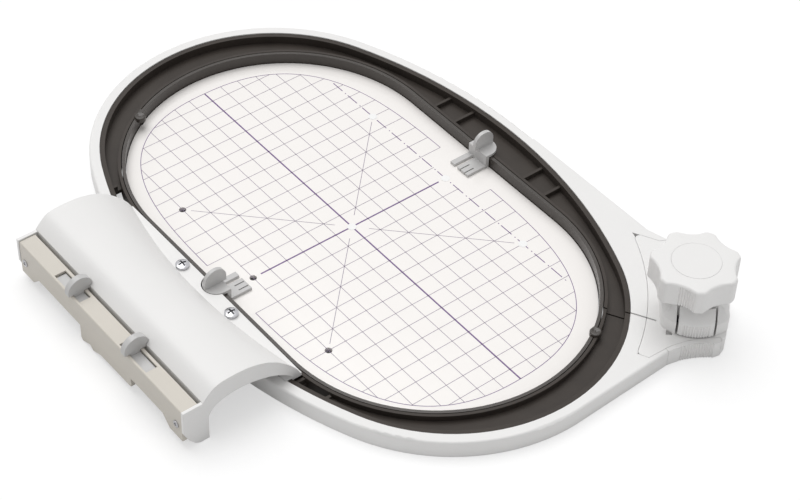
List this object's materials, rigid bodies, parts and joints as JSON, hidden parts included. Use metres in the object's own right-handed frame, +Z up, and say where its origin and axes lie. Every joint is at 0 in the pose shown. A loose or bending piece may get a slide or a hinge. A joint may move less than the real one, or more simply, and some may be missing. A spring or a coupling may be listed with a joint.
{
  "type": "embroidery hoop",
  "caption": "Large oval machine embroidery hoop: fabric ring in a channel frame with white rim, corner tension knob, lift-out template and arched machine coupling.",
  "frame": {"origin": "centre mark of the template, on its underside, which is also the plane of the table", "axes": "+X along the long axis towards the tension knob, +Y across the hoop away from the machine coupling, +Z up"},
  "size_m": [0.3332, 0.2615, 0.0435],
  "materials": {
    "white_shell": "satin white ABS",
    "dark_frame": "dark warm grey, fine satin",
    "template_sheet": "glossy printed sheet",
    "grey_catch": "light grey satin",
    "beige_bar": "warm light beige satin",
    "screws": "bright plated",
    "steel": "turned",
    "spring_steel": "drawn wire"
  },
  "bodies": {
    "root": {"outer_rim": "white_shell", "channel_frame": "dark_frame", "clamp_base": "white_shell", "grip_pad": "white_shell", "clamp_housing": "white_shell", "thrust_washer": "steel", "tab_spring": "spring_steel", "arm_housing": "white_shell", "housing_screws": "screws", "coupling_bar": "beige_bar", "bar_screws": "screws", "coupling_plate": "beige_bar", "lever_spring_left": "spring_steel", "lever_spring_right": "spring_steel"},
    "ring": {"inner_ring": "dark_frame"},
    "template_body": {"template": "template_sheet", "template_clip_near": "grey_catch", "template_clip_far": "grey_catch"},
    "knob": {"star_knob": "white_shell", "knob_cap": "white_shell", "tension_spindle": "steel", "retaining_ring": "spring_steel"},
    "nut": {"tension_nut": "steel"},
    "tab": {"release_tab": "white_shell"},
    "lever_left": {"release_lever_left": "grey_catch"},
    "lever_right": {"release_lever_right": "grey_catch"}
  },
  "joints": [
    {"name": "inner_ring_lift", "type": "slide", "parent": "root", "child": "ring", "axis": [0, 0, 1], "range_m": [0, 0.02]},
    {"name": "template_lift", "type": "slide", "parent": "ring", "child": "template_body", "axis": [0, 0, 1], "range_m": [0, 0.02]},
    {"name": "knob_turn", "type": "hinge", "parent": "root", "child": "knob", "pos_m": [0.148, 0.086, 0.03], "axis": [0, 0, 1], "range_deg": [-360, 360]},
    {"name": "nut_draw", "type": "slide", "parent": "root", "child": "nut", "axis": [0, 0, 1], "range_m": [-0.00126, 0.00126]},
    {"name": "tab_press", "type": "slide", "parent": "root", "child": "tab", "axis": [-0.7547, 0.6561, 0], "range_m": [0, 0.0015], "stiffness_N_per_m": 800, "springref_m": -0.002, "deforming": ["tab_spring"]},
    {"name": "lever_left_press", "type": "slide", "parent": "root", "child": "lever_left", "axis": [1, 0, 0], "range_m": [0, 0.005], "stiffness_N_per_m": 400, "springref_m": -0.003, "deforming": ["lever_spring_left"]},
    {"name": "lever_right_press", "type": "slide", "parent": "root", "child": "lever_right", "axis": [-1, 0, 0], "range_m": [0, 0.005], "stiffness_N_per_m": 400, "springref_m": -0.003, "deforming": ["lever_spring_right"]}
  ],
  "couplings": [
    {"joint": "nut_draw", "follows": "knob_turn", "m_per_rad": -0.00019894}
  ]
}
